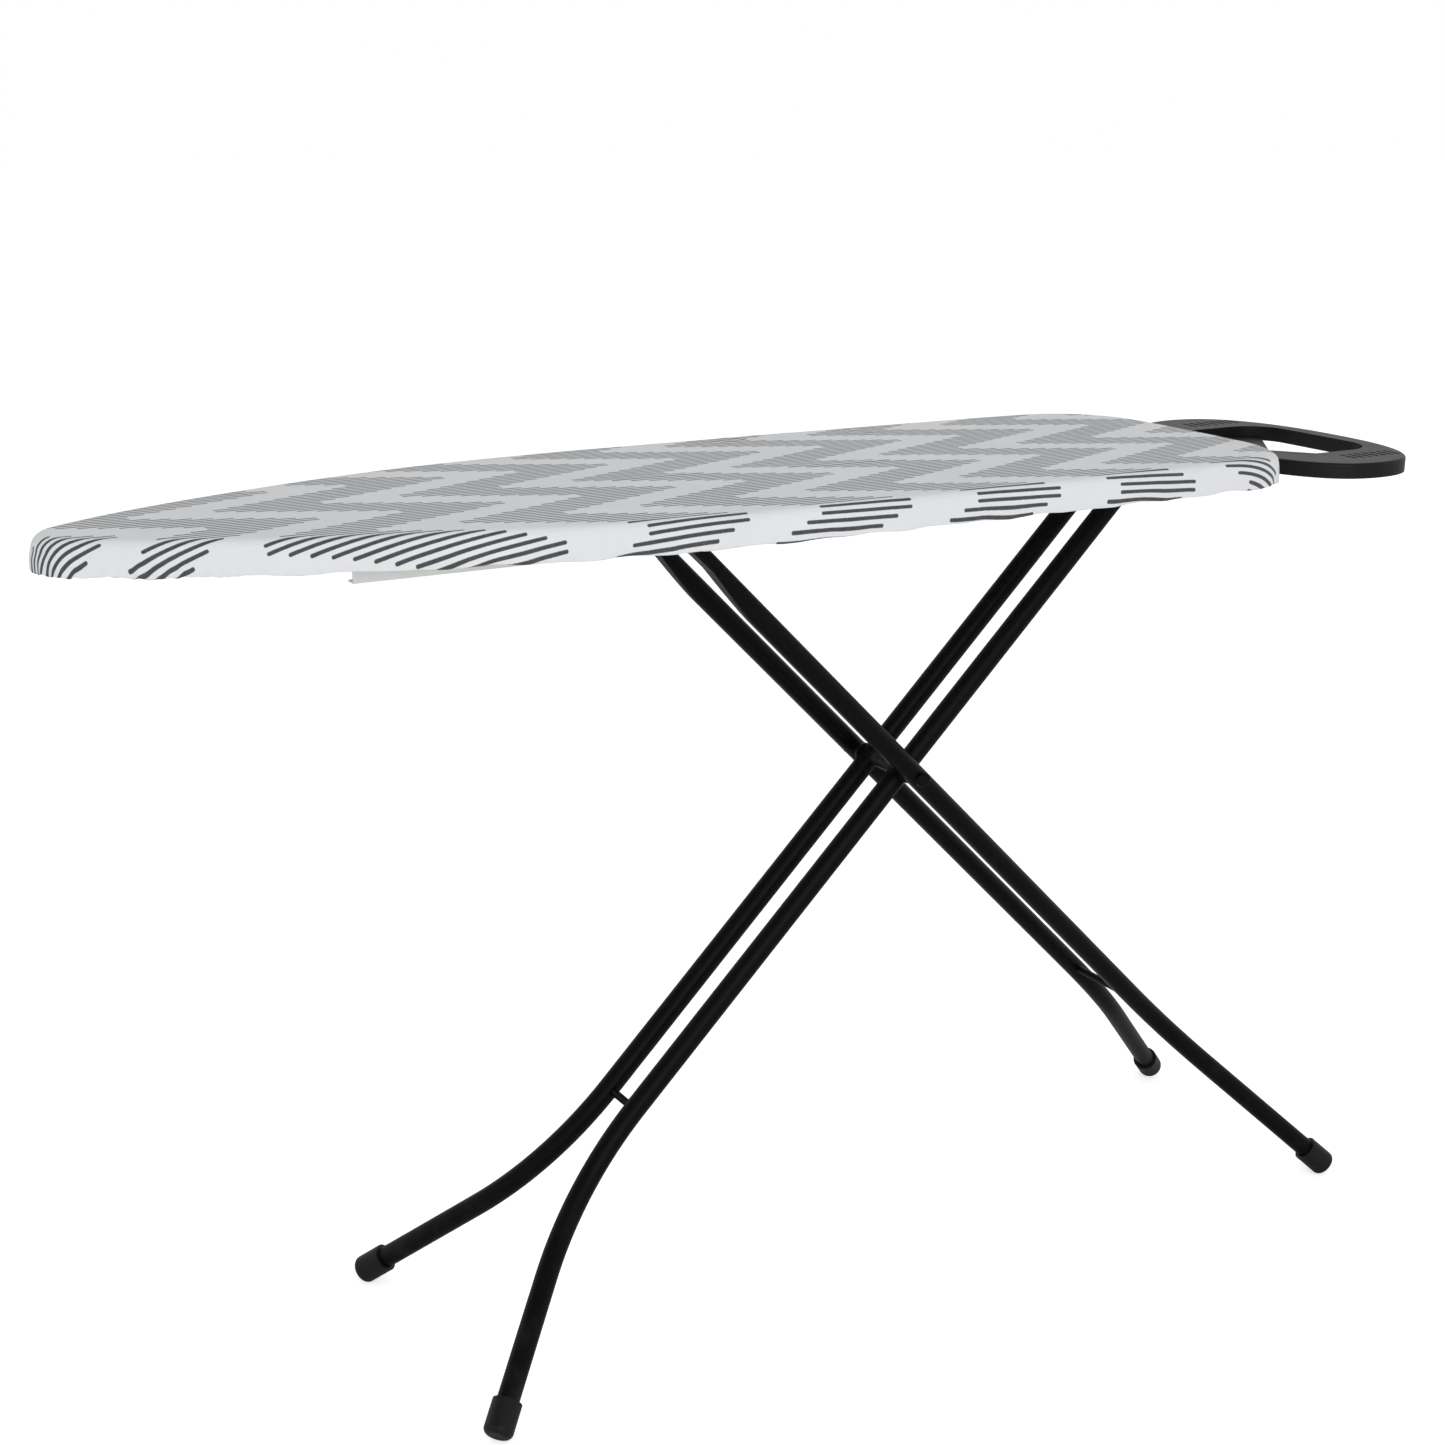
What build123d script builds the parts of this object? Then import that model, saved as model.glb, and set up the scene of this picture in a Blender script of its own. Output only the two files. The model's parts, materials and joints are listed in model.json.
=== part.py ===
from build123d import *
import math
import os

os.makedirs("parts", exist_ok=True)

# Scissor-leg ironing board. Millimetres, +Z up, nose towards -X, iron rest towards +X.
# The origin is on the floor, below the middle of the whole length.

# ---- driving sizes -------------------------------------------------------------------
board_length = 1240.0        # covered ironing surface, nose to tail
board_half_width = 190.0
board_height = 855.0         # floor to ironing surface, as it stands
rest_reach = 207.0           # iron rest beyond the tail

nose_radius = 42.0           # plan outline, all arcs tangent to each other
shoulder_radius = 1170.0
flank_start = 205.0          # straight side after the shoulder arc
flank_radius = 7000.0
corner_radius = 106.0
tail_radius = 1500.0

cover_thickness = 1.2
cover_depth = 27.0           # side of the cover, top to bottom fold
cover_lip = 20.0             # cloth turned in below the rim
string_diameter = 3.0
pad_thickness = 7.0
deck_thickness = 0.8
rim_width = 12.0
rim_wall = 1.2
soft_gap = 0.3               # clear space round cloth and foam

tube_radius = 11.0
tube_wall = 1.2
leg_angle = 44.8             # degrees from level, as it stands
leg_angle_high = 52.3        # highest setting
leg_angle_flat = 3.0         # folded
upper_length = 396.0         # crossing bolt to each leg's top bar
hinge_drop = 40.0            # ironing surface down to the hinge line
hinge_inset = 111.0          # hinge line from the tail
inner_clear = 17.0           # mid-plane to an inner leg tube
crossing_gap = 4.5           # between inner and outer tubes, for the washer
leg_straight = 436.0         # pivot to the start of the splay bend
inner_bend_radius = 325.0
inner_bend_angle = 33.4
outer_bend_radius = 357.0
outer_bend_angle = 22.0
tube_overhang = 12.0         # tube end beyond its top bar

foot_radius = 14.5
foot_length = 34.0
foot_round = 6.5
foot_facet = 0.8             # worn flat depth at the floor
foot_floor = 5.0             # plastic below the tube end
foot_gap = 0.1

bar_radius = 6.0             # hinge axle and slider bar
running_gap = 0.06           # radial, round turning bars and bolts
weld_gap = 0.05
brace_radius = 4.0
brace_past_bend = 2.0        # brace rod from the start of the splay
bolt_radius = 4.0
bolt_head_radius = 8.0
bolt_head_height = 4.5
bolt_head_round = 2.7
nut_cap = 2.0                # closed end of the cap nut
washer_gap = 0.3
washer_radius = 10.5
spacer_radius = 8.0

rail_wall = 1.5
rail_gap = 4.5               # outer tube to a rail's flange edge
rail_depth = 12.0
rail_past_rib = 20.0
rib_width = 30.0
rib_wall = 1.5
rib_end_gap = 1.4            # shallow rib ends above the drawstring
rib_foot = 10.0              # riveted tab each side of a rib
rib_nose_gap = 60.0          # front rib ahead of the folded slider bar
rib_middle_gap = 55.0        # middle rib behind the raised slider bar
rib_tail_gap = 45.0          # tail rib behind the hinge line
nose_rib_inset = 163.0       # nose rib from the nose tip
rivet_radius = 2.0
rivet_head = 3.8
rivet_head_height = 1.2

bush_wall = 2.0
bush_gap = 0.5               # bush to the rail's flanges
bush_collar_step = 2.0
bush_collar = 2.0
clip_thickness = 1.2
clip_radius = 9.0
axle_spare = 2.0             # axle beyond its clip

shoe_length = 34.0
shoe_gap = 0.4
shoe_round = 3.0
shoe_clear = 1.6             # shoe to the outer tube
bar_spare = 1.0              # slider bar's end inside its shoe
rod_radius = 4.0
rod_rise = 19.0              # guide rod above the slider bar
rod_past_rib = 4.0
rod_gap = 0.3
housing_half_length = 22.0
housing_half_width = 14.0
housing_below = 9.0
housing_above = 8.0
housing_behind = 2.0
housing_round = 3.0
lever_thickness = 3.0
lever_half_width = 8.0
lever_offset = 14.0          # lever's upright behind the slider bar
lever_drop = 18.0            # lever's arm below the slider bar
lever_length = 116.0
lever_gap = 0.6
lever_swing_room = 3.0       # housing's slot before and behind the lever
lever_top_gap = 1.0
lever_rod_gap = 1.0
lever_travel = 6.0           # degrees
lever_pin_radius = 2.0
lever_eye_radius = 4.5
lever_pin_drop = 3.0         # lever pin below the slider bar
lever_pin_offset = 4.5       # lever pin behind the lever's upright
grip_length = 62.0
grip_half_width = 11.0
grip_wall = 3.0
grip_round = 2.5
spring_width = 4.0
spring_radius = 3.6

rest_drop = 19.0             # top of the iron rest below the ironing surface
rest_height = 16.0
rest_half_width = 167.5
rest_half_length = 96.0
rest_power = 2.4             # exponent of the rest's oval
rest_hole_half_width = 93.0
rest_hole_half_length = 67.0
rest_hole_corner = 42.0
rest_hole_shift = 5.0
rest_web_thickness = 3.5
rest_web_drop = 11.5         # web's top below the ring's top
rest_web_side = 6.0          # web runs this much further out across the opening
rest_web_tip = 62.0          # web's two tips, from the opening's middle
rest_web_tip_width = 86.0
rest_oval_points = 28
rest_tongue = 39.0           # web under the board, from the tail
rest_tongue_half_width = 92.0
rest_edge_round = 2.5
groove_count = 7
groove_pitch = 10.6
groove_length = 24.0
groove_width = 4.0
groove_depth = 1.6
groove_shift = 26.0          # middle groove beyond the rest's middle
groove_offset = 124.5        # mid-plane to the middle of the grooves
bracket_half_width = 12.0
bracket_offset = 54.0
bracket_thickness = 2.0
bracket_upright = 16.0       # bracket's leg up the tail rib
bracket_short = 6.0          # bracket ends this far inside the tail
screw_radius = 2.0
screw_head_radius = 4.2
screw_head_height = 2.0
screw_inset = 8.0            # screws from the tongue's edge and the bracket's end
vent_count = 9
vent_pitch = 118.0
vent_length = 60.0
vent_radius = 6.0

cut = 400.0                  # longer than whatever it cuts through

# ---- places worked out from them ----------------------------------------------------
overall_length = board_length + rest_reach
nose_x = -overall_length / 2
tail_x = nose_x + board_length
rest_end_x = tail_x + rest_reach

deck_top = board_height - cover_thickness - soft_gap - pad_thickness - soft_gap
deck_bottom = deck_top - deck_thickness
cover_bottom = board_height - cover_depth
rim_bottom = cover_bottom + cover_thickness + soft_gap
rim_inset = cover_thickness + soft_gap
rib_end_bottom = cover_bottom + string_diameter + rib_end_gap

hinge_x = tail_x - hinge_inset
hinge_z = board_height - hinge_drop
pivot_height = hinge_z - upper_length * math.sin(math.radians(leg_angle))
inner_offset = inner_clear + tube_radius
outer_offset = inner_offset + 2 * tube_radius + crossing_gap
rail_inner = outer_offset + tube_radius + rail_gap
rail_outer = rail_inner + rail_depth
bush_radius = bar_radius + bush_wall
bush_collar_radius = bush_radius + bush_collar_step
rail_half_height = bush_radius + bush_gap + rail_wall


def slider_x(angle):
    """Slider bar's place when the legs stand at this angle."""
    return hinge_x - 2 * upper_length * math.cos(math.radians(angle))


pivot = Vector(hinge_x - upper_length * math.cos(math.radians(leg_angle)), 0, pivot_height)
bar_x = slider_x(leg_angle)
rail_top = hinge_z + rail_half_height
rib_front_x = slider_x(leg_angle_flat) - rib_nose_gap
rib_middle_x = slider_x(leg_angle_high) + rib_middle_gap
rib_tail_x = hinge_x + rib_tail_gap
rib_nose_x = nose_x + nose_rib_inset
rod_z = hinge_z + rod_rise


def put(name, shape):
    """Write one sub-part to its own STEP file."""
    shape.label = name
    export_step(shape, f"parts/{name}.step")
    return shape


def arc(centre, radius, start, end):
    """Arc about a centre from one angle to another, in degrees."""
    def at(angle):
        turn = math.radians(angle)
        return (centre[0] + radius * math.cos(turn), centre[1] + radius * math.sin(turn))
    return ThreePointArc(at(start), at((start + end) / 2), at(end))


def bearing(origin, target):
    return math.degrees(math.atan2(target[1] - origin[1], target[0] - origin[0]))


def board_plan(inset):
    """Plan of the board, moved inwards by inset: five tangent arcs a side and a straight flank."""
    nose = (nose_x + nose_radius, 0)
    reach = math.sqrt((shoulder_radius - nose_radius) ** 2
                      - (shoulder_radius - board_half_width) ** 2)
    shoulder = (nose[0] + reach, board_half_width - shoulder_radius)
    flank = (shoulder[0] + flank_start, board_half_width - flank_radius)
    tail = (tail_x - tail_radius, 0)
    # the corner arc touches the flank arc and the tail arc from inside
    span = math.dist(flank, tail)
    to_flank = flank_radius - corner_radius
    to_tail = tail_radius - corner_radius
    along = (to_flank ** 2 - to_tail ** 2 + span ** 2) / (2 * span)
    aside = math.sqrt(to_flank ** 2 - along ** 2)
    way = ((tail[0] - flank[0]) / span, (tail[1] - flank[1]) / span)
    corner = (flank[0] + along * way[0] - aside * way[1],
              flank[1] + along * way[1] + aside * way[0])
    if corner[0] < 0 or corner[1] < 0:
        corner = (flank[0] + along * way[0] + aside * way[1],
                  flank[1] + along * way[1] - aside * way[0])
    shoulder_angle = bearing(shoulder, nose)
    flank_angle = bearing(flank, corner)
    corner_angle = bearing(tail, corner)
    side = [
        arc(nose, nose_radius - inset, 180, shoulder_angle),
        arc(shoulder, shoulder_radius - inset, shoulder_angle, 90),
        Line((shoulder[0], board_half_width - inset), (flank[0], board_half_width - inset)),
        arc(flank, flank_radius - inset, 90, flank_angle),
        arc(corner, corner_radius - inset, flank_angle, corner_angle),
        arc(tail, tail_radius - inset, corner_angle, 0),
    ]
    other = [mirror(edge, Plane.XZ) for edge in side]
    return make_face(side + other)


def board_prism(inset, low, high):
    return extrude(Plane.XY.offset(low) * board_plan(inset), high - low)


def box_between(low, high):
    size = [high[i] - low[i] for i in range(3)]
    middle = [(high[i] + low[i]) / 2 for i in range(3)]
    return Pos(*middle) * Box(*size)


def rod_y(x, z, radius, y_low, y_high):
    """Round bar along Y."""
    body = Pos(x, (y_low + y_high) / 2, z) * Rot(90, 0, 0)
    return body * Cylinder(radius, y_high - y_low)


def rod_x(y, z, radius, x_low, x_high):
    """Round bar along X."""
    return Pos((x_low + x_high) / 2, y, z) * Rot(0, 90, 0) * Cylinder(radius, x_high - x_low)


def rod_z_at(x, y, radius, low, high):
    return Pos(x, y, (low + high) / 2) * Cylinder(radius, high - low)


sides = {"near": -1, "far": 1}

# ---- board: cloth, foam, steel deck and rim ------------------------------------------
cover = board_prism(0, cover_bottom, board_height)
cover -= board_prism(cover_thickness, cover_bottom + cover_thickness,
                     board_height - cover_thickness)
cover -= board_prism(cover_lip, cover_bottom - 1, cover_bottom + cover_thickness + 1)
put("cover", cover)

string_inset = cover_lip + soft_gap + string_diameter / 2
string_ring = board_prism(string_inset - string_diameter / 2, cover_bottom,
                          cover_bottom + string_diameter)
string_ring -= board_prism(string_inset + string_diameter / 2, cover_bottom - 1,
                           cover_bottom + string_diameter + 1)
put("cover_drawstring", string_ring)

put("pad", board_prism(rim_inset, deck_top + soft_gap, deck_top + soft_gap + pad_thickness))

deck = board_prism(rim_inset, deck_bottom, deck_top)
vent_start = nose_x + board_length / 2 - (vent_count - 1) * vent_pitch / 2
for number in range(vent_count):
    spot = vent_start + number * vent_pitch
    vent = Plane.XY.offset(deck_bottom - 1) * Pos(spot, 0) * SlotOverall(vent_length, 2 * vent_radius)
    deck -= extrude(vent, deck_thickness + 2)
put("deck", deck)

rim = board_prism(rim_inset, rim_bottom, deck_bottom)
rim -= board_prism(rim_inset + rim_width, rim_bottom - 1, deck_bottom + 1)
rim_hollow = board_prism(rim_inset + rim_wall, rim_bottom + rim_wall, deck_bottom - rim_wall)
rim_hollow -= board_prism(rim_inset + rim_width - rim_wall, rim_bottom, deck_bottom)
rim -= rim_hollow
for side, sign in sides.items():
    half = box_between((nose_x, min(0, sign * cut), 0), (tail_x, max(0, sign * cut), board_height))
    put(f"rim_{side}", rim & half)


def rib_channel(x, low, inset, reach):
    """Inverted channel along Y, its ends cut to the board's plan moved in by inset."""
    half = rib_width / 2
    outer = box_between((x - half, -reach, low), (x + half, reach, deck_bottom))
    inner = box_between((x - half + rib_wall, -reach, low - 1),
                        (x + half - rib_wall, reach, deck_bottom - rib_wall))
    return (outer - inner) & board_prism(inset, low - 1, deck_bottom + 1)


def rib(x, on_rails):
    """Cross rib: deep over the rails, shallow out to the rim, with riveted tabs on the rails."""
    body = rib_channel(x, rib_end_bottom, rim_inset + rim_width, board_half_width)
    if on_rails:
        body += rib_channel(x, rail_top, rim_inset + rim_width, rail_outer)
        tab = rib_width / 2 + rib_foot
        for sign in sides.values():
            ends = sorted((sign * rail_inner, sign * rail_outer))
            body += box_between((x - tab, ends[0], rail_top),
                                (x - rib_width / 2 + rib_wall, ends[1], rail_top + rib_wall))
            body += box_between((x + rib_width / 2 - rib_wall, ends[0], rail_top),
                                (x + tab, ends[1], rail_top + rib_wall))
    return body


ribs = {"nose": rib_nose_x, "front": rib_front_x, "middle": rib_middle_x, "tail": rib_tail_x}
rivet_y = (rail_inner + rail_outer - rail_wall) / 2
rivet_spots = [(ribs[name] + step * (rib_width + rib_foot) / 2, sign * rivet_y)
               for name in ("front", "middle", "tail") for step in (-1, 1) for sign in sides.values()]


def drill_rivets(body):
    for x, y in rivet_spots:
        body -= rod_z_at(x, y, rivet_radius + weld_gap, rail_top - 2 * rail_wall,
                         rail_top + 2 * rib_wall)
    return body


for name, x in ribs.items():
    body = rib(x, name != "nose")
    if name in ("front", "middle"):
        body -= rod_x(0, rod_z, rod_radius + weld_gap, x - rib_width, x + rib_width)
    put(f"rib_{name}", drill_rivets(body))

put("guide_rod", rod_x(0, rod_z, rod_radius, rib_front_x - rib_width / 2 - rod_past_rib,
                       rib_middle_x + rib_width / 2 + rod_past_rib))

rail_start = rib_front_x - rib_width / 2 - rail_past_rib
rail_end = rib_tail_x + rib_width / 2 + rib_foot
for side, sign in sides.items():
    web = sorted((sign * (rail_outer - rail_wall), sign * rail_outer))
    whole = sorted((sign * rail_inner, sign * rail_outer))
    hollow = sorted((sign * (rail_inner - 1), sign * (rail_outer - rail_wall)))
    rail = box_between((rail_start, whole[0], hinge_z - rail_half_height),
                       (rail_end, whole[1], rail_top))
    rail -= box_between((rail_start - 1, hollow[0], hinge_z - rail_half_height + rail_wall),
                        (rail_end + 1, hollow[1], rail_top - rail_wall))
    rail -= rod_y(hinge_x, hinge_z, bush_radius + weld_gap, web[0] - 1, web[1] + 1)
    put(f"rail_{side}", drill_rivets(rail))

rivets = []
for x, y in rivet_spots:
    low = rail_top - rail_wall
    high = rail_top + rib_wall
    rivet = rod_z_at(x, y, rivet_radius, low, high)
    rivet += rod_z_at(x, y, rivet_head, low - rivet_head_height, low)
    rivet += rod_z_at(x, y, rivet_head, high, high + rivet_head_height)
    rivets.append(rivet)
put("rail_rivets", Compound(children=rivets))

# ---- hinge at the tail ---------------------------------------------------------------
axle_end = rail_outer + bush_collar + clip_thickness + axle_spare
for side, sign in sides.items():
    inside = sorted((sign * (rail_inner + 1), sign * rail_outer))
    outside = sorted((sign * rail_outer, sign * (rail_outer + bush_collar)))
    bush = rod_y(hinge_x, hinge_z, bush_radius, *inside)
    bush += rod_y(hinge_x, hinge_z, bush_collar_radius, *outside)
    bush -= rod_y(hinge_x, hinge_z, bar_radius + running_gap, -cut, cut)
    put(f"hinge_bush_{side}", bush)

clips = []
for sign in sides.values():
    place = sorted((sign * (rail_outer + bush_collar + soft_gap),
                    sign * (rail_outer + bush_collar + soft_gap + clip_thickness)))
    clip = rod_y(hinge_x, hinge_z, clip_radius, *place)
    clips.append(clip - rod_y(hinge_x, hinge_z, bar_radius, -cut, cut))
put("axle_clips", Compound(children=clips))
put("hinge_axle", rod_y(hinge_x, hinge_z, bar_radius, -axle_end, axle_end))


# ---- legs ----------------------------------------------------------------------------
def leg_frame(towards):
    """Directions of a leg in side view: down the leg, and at right angles to it."""
    turn = math.radians(leg_angle)
    return Vector(towards * math.cos(turn), 0, -math.sin(turn))


def splay_length(bend_radius, bend_angle):
    """Straight run after the bend that brings the foot's rounded edge to the floor."""
    turn = math.radians(bend_angle)
    slope = math.sin(math.radians(leg_angle))
    fall = slope * math.cos(turn)
    ring = foot_radius - foot_round
    lowest = foot_round + ring * math.sqrt(1 - fall ** 2) - foot_round * fall
    needed = (pivot_height + foot_facet - lowest) / slope
    return (needed - leg_straight - bend_radius * math.sin(turn)) / math.cos(turn)


class Leg:
    """One bent leg tube: its path, its foot and its end directions."""

    def __init__(self, towards, offset, sign, bend_radius, bend_angle):
        down = leg_frame(towards)
        turn = math.radians(bend_angle)
        out = Vector(0, sign, 0)
        self.side = Vector(0, sign * offset, 0)
        self.down = down
        self.top = pivot + self.side - down * (upper_length + tube_overhang)
        self.bend = pivot + self.side + down * leg_straight
        self.middle = (self.bend + down * (bend_radius * math.sin(turn / 2))
                       + out * (bend_radius * (1 - math.cos(turn / 2))))
        self.straight = (self.bend + down * (bend_radius * math.sin(turn))
                         + out * (bend_radius * (1 - math.cos(turn))))
        self.aim = down * math.cos(turn) + out * math.sin(turn)
        self.tip = self.straight + self.aim * splay_length(bend_radius, bend_angle)
        self.tube_end = self.tip - self.aim * foot_floor

    def path(self, end):
        return Wire([Line(self.top, self.bend),
                     ThreePointArc(self.bend, self.middle, self.straight),
                     Line(self.straight, end)])

    def tube(self):
        start = Plane(origin=self.top, z_dir=self.down)
        ring = start * (Circle(tube_radius) - Circle(tube_radius - tube_wall))
        return sweep(ring, path=self.path(self.tube_end))

    def foot(self):
        """Sleeve with a rounded end, worn flat where it meets the floor."""
        bore_length = foot_length - foot_floor + 1
        cap = Pos(0, 0, foot_length / 2) * Cylinder(foot_radius, foot_length)
        cap = fillet(cap.edges().group_by(Axis.Z)[0], foot_round)
        cap -= (Pos(0, 0, foot_floor + bore_length / 2)
                * Cylinder(tube_radius + foot_gap, bore_length))
        seam_turn = Rot(0, 0, 45)      # keeps the sleeve's seam off the floor
        placed = Plane(origin=self.tip, z_dir=-self.aim) * seam_turn * cap
        reach = 2 * foot_length
        return placed & box_between((self.tip.X - reach, self.tip.Y - reach, 0),
                                    (self.tip.X + reach, self.tip.Y + reach, 2 * reach))


def crossing(leg_side, radius):
    return rod_y(pivot.X, pivot.Z, radius, leg_side.Y - 1.5 * tube_radius,
                 leg_side.Y + 1.5 * tube_radius)


inner = {side: Leg(-1, inner_offset, sign, inner_bend_radius, inner_bend_angle)
         for side, sign in sides.items()}
outer = {side: Leg(1, outer_offset, sign, outer_bend_radius, outer_bend_angle)
         for side, sign in sides.items()}


def brace(leg, name):
    """Thin cross rod between a pair of tubes, just where they start to splay."""
    spot = leg["far"].bend + leg["far"].down * brace_past_bend
    reach = leg["far"].side.Y - tube_radius
    rod = rod_y(spot.X, spot.Z, brace_radius, -reach - tube_wall, reach + tube_wall)
    for one in leg.values():
        hull = Plane(origin=one.top, z_dir=one.down) * Circle(tube_radius + weld_gap)
        rod -= sweep(hull, path=one.path(one.tube_end))
    put(name, rod)


for side in sides:
    tube = inner[side].tube()
    tube -= rod_y(hinge_x, hinge_z, bar_radius + weld_gap, -cut, cut)
    tube -= crossing(inner[side].side, bolt_radius + weld_gap)
    put(f"inner_leg_{side}", tube)
    put(f"inner_foot_{side}", inner[side].foot())

    tube = outer[side].tube()
    tube -= rod_y(bar_x, hinge_z, bar_radius + weld_gap, -cut, cut)
    tube -= crossing(outer[side].side, bolt_radius + running_gap)
    put(f"outer_leg_{side}", tube)
    put(f"outer_foot_{side}", outer[side].foot())

brace(inner, "inner_brace")
brace(outer, "outer_brace")

# ---- centre pivot --------------------------------------------------------------------
inner_face = inner_offset - tube_radius
spacer = rod_y(pivot.X, pivot.Z, spacer_radius, -inner_face, inner_face)
spacer -= rod_y(pivot.X, pivot.Z, bolt_radius + weld_gap, -cut, cut)
for sign in sides.values():
    axis = Plane(origin=pivot + Vector(0, sign * inner_offset, 0), z_dir=inner["far"].down)
    spacer -= axis * Cylinder(tube_radius + weld_gap, cut)
put("pivot_spacer", spacer)

washers = []
for sign in sides.values():
    place = sorted((sign * (inner_offset + tube_radius + washer_gap),
                    sign * (outer_offset - tube_radius - washer_gap)))
    washer = rod_y(pivot.X, pivot.Z, washer_radius, *place)
    washers.append(washer - rod_y(pivot.X, pivot.Z, bolt_radius + running_gap, -cut, cut))
put("pivot_washers", Compound(children=washers))

outer_face = outer_offset + tube_radius + washer_gap
bolt = rod_y(pivot.X, pivot.Z, bolt_radius, -outer_face, outer_face + bolt_head_height)
head = rod_y(pivot.X, pivot.Z, bolt_head_radius, -outer_face - bolt_head_height, -outer_face)
head = fillet(head.edges().group_by(Axis.Y)[0], bolt_head_round)
put("pivot_bolt", bolt + head)
nut = rod_y(pivot.X, pivot.Z, bolt_head_radius, outer_face, outer_face + bolt_head_height + nut_cap)
nut = fillet(nut.edges().group_by(Axis.Y)[-1], bolt_head_round)
nut -= rod_y(pivot.X, pivot.Z, bolt_radius, 0, outer_face + bolt_head_height)
put("pivot_nut", nut)

# ---- slider bar, its shoes and the friction lock --------------------------------------
bar_end = rail_outer - rail_wall - shoe_gap - bar_spare
put("slider_bar", rod_y(bar_x, hinge_z, bar_radius, -bar_end, bar_end))
shoe_half = rail_half_height - rail_wall - shoe_gap
for side, sign in sides.items():
    span = sorted((sign * (outer_offset + tube_radius + shoe_clear),
                   sign * (rail_outer - rail_wall - shoe_gap)))
    shoe = box_between((bar_x - shoe_length / 2, span[0], hinge_z - shoe_half),
                       (bar_x + shoe_length / 2, span[1], hinge_z + shoe_half))
    shoe = fillet(shoe.edges().filter_by(Axis.Y), shoe_round)
    shoe -= rod_y(bar_x, hinge_z, bar_radius + running_gap, -cut, cut)
    put(f"slide_shoe_{side}", shoe)

upright_x = bar_x + lever_offset
pin_x = upright_x + lever_pin_offset
pin_z = hinge_z - lever_pin_drop
housing = box_between((bar_x - housing_half_length, -housing_half_width, hinge_z - housing_below),
                      (pin_x + lever_eye_radius + housing_behind, housing_half_width, rod_z + housing_above))
housing = fillet(housing.edges().filter_by(Axis.Y), housing_round)
housing -= rod_y(bar_x, hinge_z, bar_radius + running_gap, -cut, cut)
housing -= rod_x(0, rod_z, rod_radius + rod_gap, bar_x - cut, bar_x + cut)
slot_half = lever_half_width + lever_gap + spring_width
housing -= box_between((upright_x - lever_thickness / 2 - lever_swing_room, -slot_half, 0),
                       (pin_x + lever_eye_radius + lever_swing_room, slot_half, board_height))
housing -= rod_y(pin_x, pin_z, lever_pin_radius + weld_gap, -cut, cut)
put("lock_housing", housing)
put("lever_pin", rod_y(pin_x, pin_z, lever_pin_radius, -housing_half_width, housing_half_width))

upright_low = hinge_z - lever_drop - lever_thickness
lever = box_between((upright_x - lever_thickness / 2, -lever_half_width, upright_low),
                    (upright_x + lever_thickness / 2, lever_half_width, rod_z + housing_above - lever_top_gap))
lever += box_between((upright_x - lever_length, -lever_half_width, upright_low),
                     (upright_x + lever_thickness / 2, lever_half_width, upright_low + lever_thickness))
lever += rod_y(pin_x, pin_z, lever_eye_radius, -lever_half_width, lever_half_width)
lever -= rod_y(pin_x, pin_z, lever_pin_radius + running_gap, -cut, cut)
lever -= rod_x(0, rod_z, rod_radius + lever_rod_gap, bar_x - cut, bar_x + cut)
put("release_lever", lever)

grip_start = upright_x - lever_length - grip_wall
grip = box_between((grip_start, -grip_half_width, upright_low - grip_wall),
                   (grip_start + grip_length, grip_half_width, upright_low + lever_thickness + grip_wall))
grip = fillet(grip.edges(), grip_round)
grip -= box_between((grip_start + grip_wall, -lever_half_width - weld_gap, upright_low - weld_gap),
                    (grip_start + grip_length + 1, lever_half_width + weld_gap,
                     upright_low + lever_thickness + weld_gap))
put("lever_grip", grip)

springs = []
for sign in sides.values():
    place = sorted((sign * (lever_half_width + lever_gap / 2),
                    sign * (lever_half_width + lever_gap / 2 + spring_width)))
    coil = rod_y(pin_x, pin_z, spring_radius, *place)
    springs.append(coil - rod_y(pin_x, pin_z, lever_pin_radius + soft_gap, -cut, cut))
put("lever_springs", Compound(children=springs))

# ---- iron rest --------------------------------------------------------------------------
def oval(centre_x, half_length, half_width, power):
    """Closed superellipse: |x/a|^n + |y/b|^n = 1."""
    points = []
    for step in range(rest_oval_points):
        turn = 2 * math.pi * (step + 0.5) / rest_oval_points
        c, s = math.cos(turn), math.sin(turn)
        points.append((centre_x + half_length * math.copysign(abs(c) ** (2 / power), c),
                       half_width * math.copysign(abs(s) ** (2 / power), s)))
    return make_face(Spline(*points, periodic=True))


rest_top = board_height - rest_drop
rest_bottom = rest_top - rest_height
rest_x = rest_end_x - rest_half_length
ring = extrude(Plane.XY.offset(rest_bottom) * oval(rest_x, rest_half_length, rest_half_width, rest_power),
               rest_height)
ring = fillet(ring.edges().group_by(Axis.Z)[-1], rest_edge_round)
hole_x = rest_x + rest_hole_shift
ring -= extrude(Plane.XY.offset(rest_bottom - 1)
                * (Pos(hole_x, 0) * RectangleRounded(2 * rest_hole_half_length, 2 * rest_hole_half_width,
                                             rest_hole_corner)),
                rest_height + 2)
web_top = rest_top - rest_web_drop
web_low = web_top - rest_web_thickness
web_tip = hole_x + rest_web_tip
web_side = rest_tongue_half_width + rest_web_side
web_plan = make_face(Polyline(
    (tail_x - rest_tongue, -rest_tongue_half_width), (tail_x - rest_tongue, rest_tongue_half_width),
    (hole_x, web_side), (web_tip, rest_web_tip_width), (rest_x, 0),
    (web_tip, -rest_web_tip_width), (hole_x, -web_side), close=True))
rest = ring + extrude(Plane.XY.offset(web_low) * web_plan, rest_web_thickness)
for sign in sides.values():
    for number in range(groove_count):
        x = rest_x + groove_shift + (number - (groove_count - 1) / 2) * groove_pitch
        cut = Pos(x, sign * groove_offset, rest_top - groove_depth / 2 + 0.5)
        rest -= cut * Box(groove_width, groove_length, groove_depth + 1)
bracket_start = rib_tail_x + rib_width / 2
bracket_end = tail_x - bracket_short
bracket_low = web_top
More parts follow.
